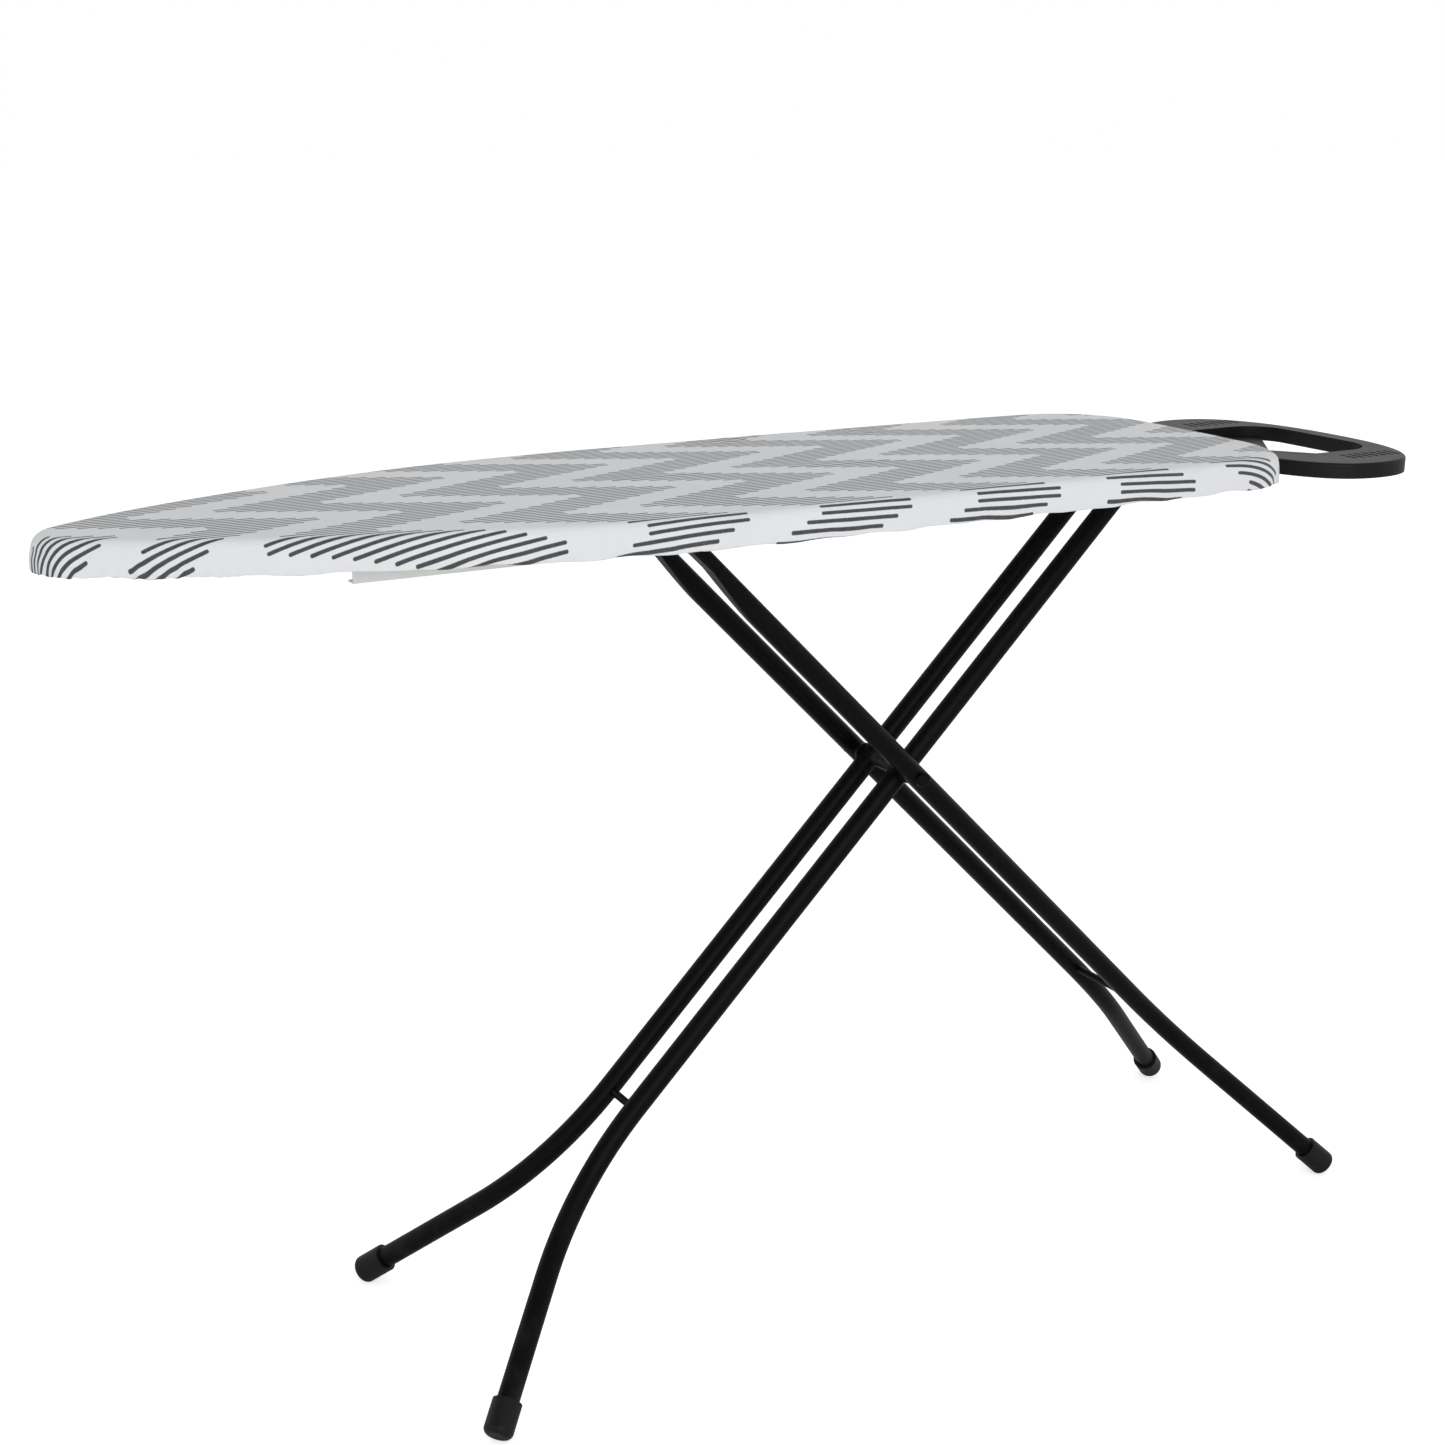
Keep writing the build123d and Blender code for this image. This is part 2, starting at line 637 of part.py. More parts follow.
screw_spots = [(x, sign * bracket_offset) for sign in sides.values()
               for x in (tail_x - rest_tongue + screw_inset, bracket_end - screw_inset)]
screws = []
for x, y in screw_spots:
    shank = rod_z_at(x, y, screw_radius, web_low, bracket_low + bracket_thickness)
    screws.append(shank + rod_z_at(x, y, screw_head_radius, web_low - screw_head_height, web_low))
    rest -= rod_z_at(x, y, screw_radius + weld_gap, web_low - 1, web_top + 1)
put("iron_rest", rest)
put("rest_screws", Compound(children=screws))
for side, sign in sides.items():
    ends = sorted((sign * bracket_offset - bracket_half_width, sign * bracket_offset + bracket_half_width))
    bracket = box_between((bracket_start, ends[0], bracket_low),
                          (bracket_end, ends[1], bracket_low + bracket_thickness))
    bracket += box_between((bracket_start, ends[0], bracket_low),
                           (bracket_start + bracket_thickness, ends[1], bracket_low + bracket_upright))
    for x, y in screw_spots:
        bracket -= rod_z_at(x, y, screw_radius + weld_gap, bracket_low - 1,
                            bracket_low + bracket_thickness + 1)
    put(f"rest_bracket_{side}", bracket)
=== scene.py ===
"""Looks of a scissor-leg ironing board: cloth cover, foam pad, bent leg tubes, finishes and stage."""

import json
import math

import bmesh
import bpy
import numpy as np
from mathutils import Matrix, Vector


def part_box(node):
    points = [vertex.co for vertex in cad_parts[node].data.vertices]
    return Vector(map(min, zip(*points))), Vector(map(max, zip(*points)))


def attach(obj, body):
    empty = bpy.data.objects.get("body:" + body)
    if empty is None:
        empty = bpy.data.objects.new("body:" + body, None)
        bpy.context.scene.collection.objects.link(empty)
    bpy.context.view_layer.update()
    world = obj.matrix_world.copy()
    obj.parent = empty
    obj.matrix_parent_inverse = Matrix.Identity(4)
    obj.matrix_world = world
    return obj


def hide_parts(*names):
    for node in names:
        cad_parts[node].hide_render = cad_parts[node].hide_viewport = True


bl_info = {
    "name": "Ironing board looks",
    "version": (1, 0, 0),
    "blender": (4, 5, 0),
    "location": "3D View > Sidebar > Ironing board",
    "description": "Cloth, foam, leg tubes, finishes and a studio for a scissor-leg ironing board",
    "category": "Object",
}

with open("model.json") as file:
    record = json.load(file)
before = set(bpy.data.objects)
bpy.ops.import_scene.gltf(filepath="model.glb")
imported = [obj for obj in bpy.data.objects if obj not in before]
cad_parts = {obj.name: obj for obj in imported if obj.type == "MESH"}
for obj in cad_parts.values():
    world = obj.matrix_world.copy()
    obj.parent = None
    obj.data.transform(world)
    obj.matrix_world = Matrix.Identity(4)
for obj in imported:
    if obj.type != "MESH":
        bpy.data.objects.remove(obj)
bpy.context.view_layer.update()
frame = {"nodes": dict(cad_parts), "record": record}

# Wavelengths of the hem's uneven shape, in metres along the outline.
SWELL_WAVES = (0.083, 0.052, 0.137)
DROP_WAVES = (0.061, 0.111)
TUCK_WAVES = (0.021, 0.034)
DRIFT_WAVES = (0.043, 0.071)
GATHER_DRIFT = 0.004     # how far the gathers wander from an even pitch
CREASE_FADE = 0.178      # creases fade out from this far off the middle line
YARN_PITCH = 0.0021      # drawstring's braid, on the surface
BRAID_PITCH = 0.018      # drawstring's lobes, along the cord
COVER_LOW, COVER_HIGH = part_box("cover")
PIVOT, HINGE, SLIDER = ((low + high) / 2 for low, high in map(
    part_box, ("pivot_bolt", "hinge_axle", "slider_bar")))


def length(name, default, description):
    """A length in metres that shows its unit in the panel."""
    return bpy.props.FloatProperty(name=name, description=description, default=default,
                                   unit="LENGTH", precision=4)


def angle(name, default, description):
    """An angle given in degrees and kept in radians."""
    return bpy.props.FloatProperty(name=name, description=description,
                                   default=math.radians(default), unit="ROTATION")


def number(name, default, description):
    """A plain number."""
    return bpy.props.FloatProperty(name=name, description=description, default=default)


def spot(name, default, description):
    """A place in the scene, in metres."""
    return bpy.props.FloatVectorProperty(name=name, description=description, default=default,
                                         size=3, subtype="TRANSLATION")


def colour(name, default, description):
    """A linear colour."""
    return bpy.props.FloatVectorProperty(name=name, description=description, default=default,
                                         size=3, min=0.0, max=1.0, subtype="COLOR")


class IRB_PG_plan(bpy.types.PropertyGroup):
    """Plan of the board: arcs that touch each other from the nose to the square tail."""

    nose: length("Nose radius", 0.042, "Round tip of the board")
    shoulder: length("Shoulder radius", 1.170, "Long curve from the tip to the full width")
    straight: length("Straight flank", 0.205, "Straight side after the shoulder curve")
    flank: length("Flank radius", 7.0, "Slow taper towards the tail")
    corner: length("Corner radius", 0.106, "Round corner at the tail")
    tail: length("Tail radius", 1.5, "Slight curve of the tail edge")


class IRB_PG_cover(bpy.types.PropertyGroup):
    """Shape of the stretched cloth cover."""

    thickness: length("Cloth thickness", 0.0012, "Woven cotton")
    edge: length("Edge radius", 0.009, "Roll of the cloth over the foam's edge")
    nose_edge: length("Nose edge radius", 0.013, "Softer roll at the nose tip")
    nose_reach: length("Nose roll reach", 0.11, "The softer roll ends this far from the tip")
    fold: length("Fold radius", 0.0011, "Turn of the cloth below the rim")
    lip: length("Turned-in lip", 0.020, "Cloth pulled under the rim by the drawstring")
    bulge: length("Side bulge", 0.0012, "How far the side stands out half way down")
    wave: length("Hem wave", 0.0012, "Slow waves along the lower edge")
    hang: length("Hem hang", 0.0026, "Lower edge hangs this far below the lip")
    corner: length("Corner fullness", 0.0085, "Spare cloth stands out at the tail corners")
    gather: length("Gathers", 0.0011, "Tight gathers round the nose")
    gather_pitch: length("Gather pitch", 0.0105, "Distance between two gathers")
    gather_reach: length("Gather reach", 0.25, "Gathers fade out this far from the nose")
    crease: length("Crease height", 0.0016, "Soft creases on the top near the far edge")


class IRB_PG_pattern(bpy.types.PropertyGroup):
    """Printed pattern: parallel dashes whose gaps run in zigzags across the board."""

    pitch: length("Line pitch", 0.0070, "Across the lines")
    width: length("Line width", 0.0032, "Printed line")
    dash: length("Dash", 0.097, "Length of one dash")
    gap: length("Gap", 0.073, "Between two dashes on a line")
    step: length("Step", 0.0158, "Each line is moved this much along from the last")
    lines: number("Lines in a zigzag leg", 10.0, "Lines before the zigzag turns back")
    along: length("Pattern start", -0.125, "Where a gap starts along the board")
    across: length("Zigzag turn", 0.019, "Where the zigzag turns, across the board")
    skew: number("Skew", 0.021, "Print runs slightly off the board's length")


class IRB_PG_legs(bpy.types.PropertyGroup):
    """Bent leg tubes."""

    radius: length("Tube radius", 0.011, "Outer radius")
    wall: length("Tube wall", 0.0012, "Steel thickness")
    overhang: length("Tube overhang", 0.012, "Tube beyond its top bar")
    straight: length("Straight run", 0.436, "Crossing bolt to the start of the splay")
    inner_bend: length("Inner bend radius", 0.325, "Splay of the inner legs")
    inner_turn: angle("Inner bend angle", 33.4, "Splay of the inner legs")
    outer_bend: length("Outer bend radius", 0.357, "Splay of the outer legs")
    outer_turn: angle("Outer bend angle", 22.0, "Splay of the outer legs")
    press_start: length("Pressed length", 0.120, "Tube is pressed flat this far below its bar")
    outer_press: length("Outer press", 0.0085, "Depth of the flat on the outer tubes")
    inner_press: length("Inner press", 0.0022, "Depth of the flat on the inner tubes")


class IRB_PG_finish(bpy.types.PropertyGroup):
    """Colours of the finishes."""

    cloth: colour("Cloth", (0.80, 0.815, 0.835), "Ground of the cover")
    print_ink: colour("Print", (0.034, 0.040, 0.044), "Printed lines")
    cord: colour("Drawstring", (0.72, 0.71, 0.68), "Braided cord")
    foam: colour("Foam", (0.60, 0.61, 0.62), "Felted foam")
    frame: colour("Powder coat", (0.0024, 0.0024, 0.0027), "Leg tubes and braces")
    dust: colour("Dust", (0.10, 0.095, 0.088), "On the powder coat near the floor")
    deck: colour("Deck enamel", (0.80, 0.80, 0.79), "Deck, rim, ribs and rails")
    zinc: colour("Zinc", (0.62, 0.63, 0.65), "Plated bars, bolts and lever")
    rest: colour("Iron rest", (0.0065, 0.0065, 0.007), "Moulded heat-proof plastic")
    rubber: colour("Black plastic", (0.0045, 0.0045, 0.005), "Foot caps, lock and grip")
    nylon: colour("Nylon", (0.74, 0.74, 0.71), "Bushes, washers and shoes")


class IRB_PG_stage(bpy.types.PropertyGroup):
    """Floor, light and camera."""

    camera: spot("Camera", (-1.1257, -1.8008, 1.2129), "Place of the camera")
    turn: angle("Turn", 30.33, "Camera's heading from the board's far side towards the tail")
    tilt: angle("Tilt", 16.49, "Camera looks down by this much")
    roll: angle("Roll", 0.51, "Camera's roll")
    lens: number("Focal length", 54.945, "Millimetres, on a 36 mm sensor")
    shift: number("Vertical shift", 0.00756, "Share of the frame")
    world: number("Surround light", 1.0, "Light from the walls")
    ceiling: number("Ceiling", 0.47, "Share of the surround light that comes from above")
    key: number("Key light", 38.0, "Watts, from the near side")
    key_place: spot("Key light place", (-0.9, -3.2, 1.9), "Where the key light hangs")
    key_target: spot("Key light target", (0.0, 0.0, 0.7), "What the key light faces")
    key_size: length("Key light size", 2.6, "Side of the square light")
    top: number("Top light", 4.0, "Watts, from above")
    top_place: spot("Top light place", (0.3, 0.4, 3.4), "Where the top light hangs")
    top_target: spot("Top light target", (0.0, 0.0, 0.8), "What the top light faces")
    top_size: length("Top light size", 2.8, "Side of the square light")
    floor: colour("Floor", (0.93, 0.93, 0.93), "Plain pale floor")
    reach: length("Floor reach", 30.0, "The floor ends this far from its middle")
    glow: number("Floor glow", 0.60, "Shown to the camera only, so it adds no light from below")


GROUPS = {"irb_plan": IRB_PG_plan, "irb_cover": IRB_PG_cover, "irb_pattern": IRB_PG_pattern,
          "irb_legs": IRB_PG_legs, "irb_finish": IRB_PG_finish, "irb_stage": IRB_PG_stage}


# ---- shader arithmetic ----------------------------------------------------------------
class Signal:
    """A shader value that can be used in arithmetic; each operation adds one Math node."""

    def __init__(self, shader, socket):
        self.shader = shader
        self.socket = socket

    def math(self, operation, *values):
        inputs = dict(enumerate((self, *values)))
        return self.shader.value("ShaderNodeMath", {"operation": operation}, inputs)

    def __add__(self, other):
        return self.math("ADD", other)

    __radd__ = __add__

    def __mul__(self, other):
        return self.math("MULTIPLY", other)

    __rmul__ = __mul__

    def __sub__(self, other):
        return self.math("SUBTRACT", other)

    def __rsub__(self, other):
        return self * -1.0 + other

    def __truediv__(self, other):
        return self.math("DIVIDE", other)

    def __mod__(self, other):
        return self.math("FLOORED_MODULO", other)

    def __abs__(self):
        return self.math("ABSOLUTE")

    def floor(self):
        return self.math("FLOOR")

    def sine(self):
        return self.math("SINE")

    def least(self, other):
        return self.math("MINIMUM", other)

    def most(self, other):
        return self.math("MAXIMUM", other)

    def clamped(self):
        return self.most(0.0).least(1.0)

    def step_to(self, start, end):
        """0 before start, 1 past end, straight between."""
        return ((self - start) / (end - start)).clamped()


class Shader:
    """The nodes of one material, or of the world."""

    def __init__(self, owner):
        owner.use_nodes = True
        self.owner = owner
        self.tree = owner.node_tree
        self.tree.nodes.clear()

    @classmethod
    def material(cls, name):
        return cls(bpy.data.materials.new(name))

    def node(self, kind, settings, inputs):
        """Any node: its settings first, then the value or link of each socket."""
        made = self.tree.nodes.new(kind)
        for key, value in settings.items():
            setattr(made, key, value)
        for key, value in inputs.items():
            if isinstance(value, Signal):
                self.tree.links.new(value.socket, made.inputs[key])
            else:
                made.inputs[key].default_value = value
        return made

    def value(self, kind, settings, inputs, output=0):
        return Signal(self, self.node(kind, settings, inputs).outputs[output])

    def place(self):
        """Object coordinates in metres."""
        return self.value("ShaderNodeTexCoord", {}, {}, "Object")

    def flat(self):
        """The piece's own flat coordinates, in metres, as two values."""
        both = self.value("ShaderNodeUVMap", {"uv_map": "flat"}, {})
        return self.split(both)[:2]

    def split(self, vector):
        made = self.node("ShaderNodeSeparateXYZ", {}, {0: vector})
        return [Signal(self, one) for one in made.outputs]

    def noise(self, vector, size, detail=2.0, roughness=0.5):
        """Smooth noise whose lumps are about this many metres across."""
        return self.value("ShaderNodeTexNoise", {}, {
            "Vector": vector, "Scale": 1.0 / size, "Detail": detail, "Roughness": roughness})

    def cells(self, vector, size):
        """Distance to the nearest cell centre, in cells."""
        return self.value("ShaderNodeTexVoronoi", {}, {"Vector": vector, "Scale": 1.0 / size})

    def mix(self, factor, first, second):
        """Colour between two others."""
        return self.value("ShaderNodeMix", {"data_type": "RGBA"},
                          {0: factor, 6: first, 7: second}, 2)

    def bump(self, height, distance, strength=1.0):
        """Normal of a surface raised by height times distance."""
        return self.value("ShaderNodeBump", {}, {
            "Height": height, "Distance": distance, "Strength": strength}, "Normal")

    def finish(self, sockets, surface="ShaderNodeBsdfPrincipled", output="ShaderNodeOutputMaterial"):
        """Surface shader with these sockets, joined to the output; gives the material or world."""
        self.node(output, {}, {"Surface": self.value(surface, {}, sockets)})
        return self.owner


def tone(values, factor=1.0):
    """Colour with full alpha, lightened or darkened by a factor."""
    return (values[0] * factor, values[1] * factor, values[2] * factor, 1.0)


# ---- meshes ---------------------------------------------------------------------------
def smooth(value, start, end):
    """0 before start, 1 past end, an S curve between."""
    t = np.clip((value - start) / (end - start), 0.0, 1.0)
    return t * t * (3.0 - 2.0 * t)


def grid_mesh(name, points, flat=None, poles=False):
    """Rows of closed rings joined by quads; with poles, each end ring closes on its middle."""
    rows, ring = points.shape[:2]
    index = np.arange(rows * ring).reshape(rows, ring)
    after = np.roll(index, -1, axis=1)
    quads = np.stack([index[:-1], after[:-1], after[1:], index[1:]], axis=-1).reshape(-1, 4)
    faces = quads.tolist()
    vertices = points.reshape(-1, 3)
    if poles:
        ends = np.stack([points[0].mean(axis=0), points[-1].mean(axis=0)])
        vertices = np.concatenate([vertices, ends])
        first = np.full(ring, rows * ring)
        faces += np.stack([first, after[0], index[0]], axis=-1).tolist()
        faces += np.stack([first + 1, index[-1], after[-1]], axis=-1).tolist()
    mesh = bpy.data.meshes.new(name)
    mesh.from_pydata(vertices.tolist(), [], faces)
    if flat is not None:
        uv = np.concatenate([flat.reshape(-1, 2), np.zeros((len(vertices) - rows * ring, 2))])
        corners = np.empty(len(mesh.loops), dtype=np.int32)
        mesh.loops.foreach_get("vertex_index", corners)
        mesh.uv_layers.new(name="flat").data.foreach_set("uv", uv[corners].ravel())
    mesh.polygons.foreach_set("use_smooth", np.ones(len(mesh.polygons), dtype=bool))
    made = bpy.data.objects.new(name, mesh)
    bpy.context.scene.collection.objects.link(made)
    return made


def merge_close(made):
    """Join the points that lie on each other, so seams and poles are closed."""
    work = bmesh.new()
    work.from_mesh(made.data)
    bmesh.ops.remove_doubles(work, verts=work.verts, dist=1e-6)
    work.to_mesh(made.data)
    work.free()


def face_outwards(made):
    """Turn every face of a closed surface outwards."""
    work = bmesh.new()
    work.from_mesh(made.data)
    bmesh.ops.recalc_face_normals(work, faces=work.faces)
    work.to_mesh(made.data)
    work.free()


def dress(made, material, body, slot, *nodes):
    """Give a new piece its finish, the body it moves with and the nodes it stands for."""
    made.data.materials.clear()
    made.data.materials.append(material)
    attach(made, body)
    if nodes:
        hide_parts(*nodes)


def paint(material, slot):
    """Give every CAD node of a material slot its finish."""
    for part in frame["record"]["subparts"]:
        if part["material_slot"] == slot:
            slots = frame["nodes"][part["node"]].data.materials
            slots.clear()
            slots.append(material)


def plan_arcs(plan, nose_x, tail_x, half_width):
    """Centre, radius and end angles of each arc of the far side, from the nose to the tail."""
    nose = np.array([nose_x + plan.nose, 0.0])
    reach = math.sqrt((plan.shoulder - plan.nose) ** 2 - (plan.shoulder - half_width) ** 2)
    shoulder = np.array([nose[0] + reach, half_width - plan.shoulder])
    flank = np.array([shoulder[0] + plan.straight, half_width - plan.flank])
    tail = np.array([tail_x - plan.tail, 0.0])
    span = np.linalg.norm(tail - flank)
    to_flank, to_tail = plan.flank - plan.corner, plan.tail - plan.corner
    along = (to_flank ** 2 - to_tail ** 2 + span ** 2) / (2.0 * span)
    aside = math.sqrt(to_flank ** 2 - along ** 2)
    way = (tail - flank) / span
    side = np.array([way[1], -way[0]])
    corner = flank + along * way + aside * side
    if corner[0] < 0.0 or corner[1] < 0.0:
        corner = flank + along * way - aside * side

    def heading(start, end):
        return math.atan2(end[1] - start[1], end[0] - start[0])

    first, last = heading(shoulder, nose), heading(flank, corner)
    turn = heading(tail, corner)
    return [(nose, plan.nose, math.pi, first), (shoulder, plan.shoulder, first, math.pi / 2),
            (flank, plan.flank, math.pi / 2, last), (corner, plan.corner, last, turn),
            (tail, plan.tail, turn, 0.0)]


def board_outline(plan, fine=0.0024, coarse=0.0062, fine_reach=0.30):
    """Closed outline of the board as points, outward normals and distances from the nose tip.

    Points follow the far side's arcs, spaced finely near the nose and coarsely beyond, and
    are mirrored for the near side.
    """
    half_width = COVER_HIGH.y
    arcs = plan_arcs(plan, COVER_LOW.x, COVER_HIGH.x, half_width)
    points, normals = [], []
    for centre, radius, start, end in arcs:
        turn = np.linspace(start, end, 400)
        out = np.stack([np.cos(turn), np.sin(turn)], axis=-1)
        points.append(centre + radius * out)
        normals.append(out)
    points, normals = np.concatenate(points), np.concatenate(normals)
    steps = np.linalg.norm(np.diff(points, axis=0), axis=1)
    walked = np.concatenate([[0.0], np.cumsum(steps)])
    density = 1.0 / (fine + (coarse - fine) * smooth(walked, fine_reach * 0.6, fine_reach))
    ranked = np.concatenate([[0.0], np.cumsum(steps * (density[1:] + density[:-1]) / 2.0)])
    count = int(round(ranked[-1]))
    wanted = np.linspace(0.0, ranked[-1], count + 1)

    def resample(values):
        return np.interp(wanted, ranked, values)

    far = np.stack([resample(points[:, 0]), resample(points[:, 1])], axis=-1)
    out = np.stack([resample(normals[:, 0]), resample(normals[:, 1])], axis=-1)
    out /= np.linalg.norm(out, axis=1, keepdims=True)
    distance = resample(walked)
    out[0], out[-1], far[0, 1], far[-1, 1] = (-1.0, 0.0), (1.0, 0.0), 0.0, 0.0
    mirror = np.array([1.0, -1.0])
    loop = np.concatenate([far, far[-2:0:-1] * mirror])
    loop_out = np.concatenate([out, out[-2:0:-1] * mirror])
    signed = np.concatenate([distance, -distance[-2:0:-1]])
    return loop, loop_out, signed


def middle_line(loop, off_nose=0.055, off_tail=0.15):
    """Point on the board's middle line beside each outline point, kept off both ends."""
    x = np.clip(loop[:, 0], COVER_LOW.x + off_nose, COVER_HIGH.x - off_tail)
    return np.stack([x, np.zeros(len(loop))], axis=-1)


def edge_radius(distance):
    """Radius of the cover's rolled edge: constant, and growing softly to the nose tip."""
    size = bpy.context.scene.irb_cover
    at_tip = 1.0 - smooth(np.abs(distance), 0.0, size.nose_reach)
    return size.edge + (size.nose_edge - size.edge) * at_tip


def slow_wave(distance, *lengths):
    """Sum of sines of these wavelengths, each out of step with the rest, from -1 to 1."""
    total = sum(np.sin(2.0 * np.pi * distance / one + 1.7 * place)
                for place, one in enumerate(lengths))
    return total / len(lengths)


def cover_profile(size, radius):
    """Section of the cloth from the rolled edge to the end of the lip, for each edge radius.

    A quarter circle, a side with a sine bulge, a half circle below the rim and a flat lip.
    Gives, row by row, how far the cloth lies beyond the outline, its height and its length
    from the start of the roll, then how loose it is (the square of the way down the side)
    and how far it joins in the fullness of the corners.
    """
    top, bottom = COVER_HIGH.z, COVER_LOW.z
    quarter = np.linspace(0.0, np.pi / 2, 7)[1:]
    down = np.linspace(0.0, 1.0, 9)[1:]
    half = np.linspace(0.0, np.pi, 6)[1:]
    under = np.linspace(0.0, 1.0, 7)[1:]
    rolls, downs, halves, unders = (one[:, None] for one in (quarter, down, half, under))
    side_height = top - bottom - size.fold - radius
    every = np.zeros_like(radius)
    beyond = np.concatenate([
        radius * (np.sin(rolls) - 1.0), size.bulge * np.sin(np.pi * downs) + every,
        size.fold * (np.cos(halves) - 1.0) + every,
        -2.0 * size.fold - (size.lip - 2.0 * size.fold) * unders + every])
    height = np.concatenate([
        top - radius * (1.0 - np.cos(rolls)), top - radius - side_height * downs,
        bottom + size.fold * (1.0 - np.sin(halves)) + every,
        bottom + size.fold + 0.0 * unders + every])
    rolled = radius * np.pi / 2
    lengths = np.concatenate([
        radius * rolls, rolled + side_height * downs, rolled + side_height + size.fold * halves,
        rolled + side_height + size.fold * np.pi + size.lip * unders])
    loose = np.concatenate([np.zeros(len(quarter)), down ** 2, np.ones(len(half)), 1.0 - under])
    full = np.concatenate([np.sin(quarter), np.ones(len(down) + len(half)), 1.0 - under])
    return beyond, height, lengths, loose[:, None], full[:, None]


def hem_folds(size, distance, at_corner):
    """How far the hem swells outwards and drops: sums of sines along the outline.

    Slow waves and tucks run all round and calm down at the nose, where gathers take over.
    """
    near_nose = 1.0 - smooth(np.abs(distance), size.gather_reach * 0.35, size.gather_reach)
    uneven = distance + GATHER_DRIFT * slow_wave(distance, *DRIFT_WAVES)
    gathers = slow_wave(uneven, size.gather_pitch, size.gather_pitch * 1.62)
    waves = slow_wave(distance, *SWELL_WAVES)
    tucks = slow_wave(distance, *TUCK_WAVES)
    swell = (size.wave * (0.8 + waves + 0.6 * tucks) * (1.0 - 0.6 * near_nose)
             + size.gather * near_nose * (0.7 + gathers) + size.gather * at_corner * tucks)
    drop = (size.hang + size.wave * slow_wave(distance, *DROP_WAVES)
            + size.gather * (1.0 - gathers) * near_nose)
    return swell, drop


def build_cover():
    """Cloth over the board: rows from the middle line to the rolled edge, then the profile.

    Every row is a closed ring round the board. The profile is carried along the outline and
    moved by the hem's folds and the corners' fullness. The flat coordinates keep the top as
    it is and lay the profile's length out straight beyond it.
    """
    scene = bpy.context.scene
    size = scene.irb_cover
    loop, out, distance = board_outline(scene.irb_plan)
    radius = edge_radius(distance)
    edge = loop - out * radius[:, None]
    inward = np.linspace(0.0, 1.0, 23)[:, None, None]
    plan_top = middle_line(loop) * (1.0 - inward) + edge * inward

    beyond, height, lengths, loose, full = cover_profile(size, radius)
    at_corner = np.clip(2.0 * out[:, 0] * np.abs(out[:, 1]), 0.0, 1.0)
    swell, drop = hem_folds(size, distance, at_corner)
    offset = beyond + loose * swell + full * size.corner * at_corner
    plan_side = loop[None] + out[None] * offset[:, :, None]
    flat_side = edge[None] + out[None] * lengths[:, :, None]

    plan = np.concatenate([plan_top, plan_side])
    rise = np.concatenate([np.full(plan_top.shape[:2], COVER_HIGH.z), height - loose * drop])
    x, y = plan[..., 0], plan[..., 1]
    on_top = 1.0 - smooth(np.abs(y), CREASE_FADE, COVER_HIGH.y)
    rise += on_top * top_creases(x, y, size.crease)
    flat = np.concatenate([plan_top, flat_side])
    made = grid_mesh("cover_cloth", np.concatenate([plan, rise[..., None]], axis=-1), flat)
    merge_close(made)
    cut = flat[-1]
    ahead = np.roll(cut, -1, axis=0)
    area = 0.5 * abs(np.sum(cut[:, 0] * ahead[:, 1] - ahead[:, 0] * cut[:, 1]))
    return made, np.ptp(cut[:, 1]), np.ptp(cut[:, 0]), area


def top_creases(x, y, height):
    """Height of the creases on the top: cosine ridges that fade out across two stretches by
    the far edge, one long low ridge along the middle and a slow unevenness of the foam."""
    def stretch(start, end, low, high, spacing, lean):
        window = smooth(x, start, start + 0.03) * (1.0 - smooth(x, end - 0.03, end))
        band = smooth(y, low, low + 0.02) * (1.0 - smooth(y, high - 0.012, high))
        ridge = 0.5 + 0.5 * np.cos(2.0 * np.pi * (x + lean * y) / spacing)
        return window * band * ridge ** 2

    first = stretch(start=-0.01, end=0.135, low=0.145, high=0.186, spacing=0.038, lean=1.3)
    second = stretch(start=0.15, end=0.235, low=0.125, high=0.175, spacing=0.033, lean=-1.1)
    ridge_place, ridge_width = 0.01 * np.sin(9.0 * x), 0.008
    middle = (np.exp(-((y + ridge_place) / ridge_width) ** 2)
              * smooth(x, -0.30, -0.15) * (1.0 - smooth(x, 0.10, 0.24)))
    uneven = np.sin(x / 0.083) * np.sin(y / 0.061 + x / 0.21)
    return height * (first + second + 0.45 * middle + 0.18 * uneven)


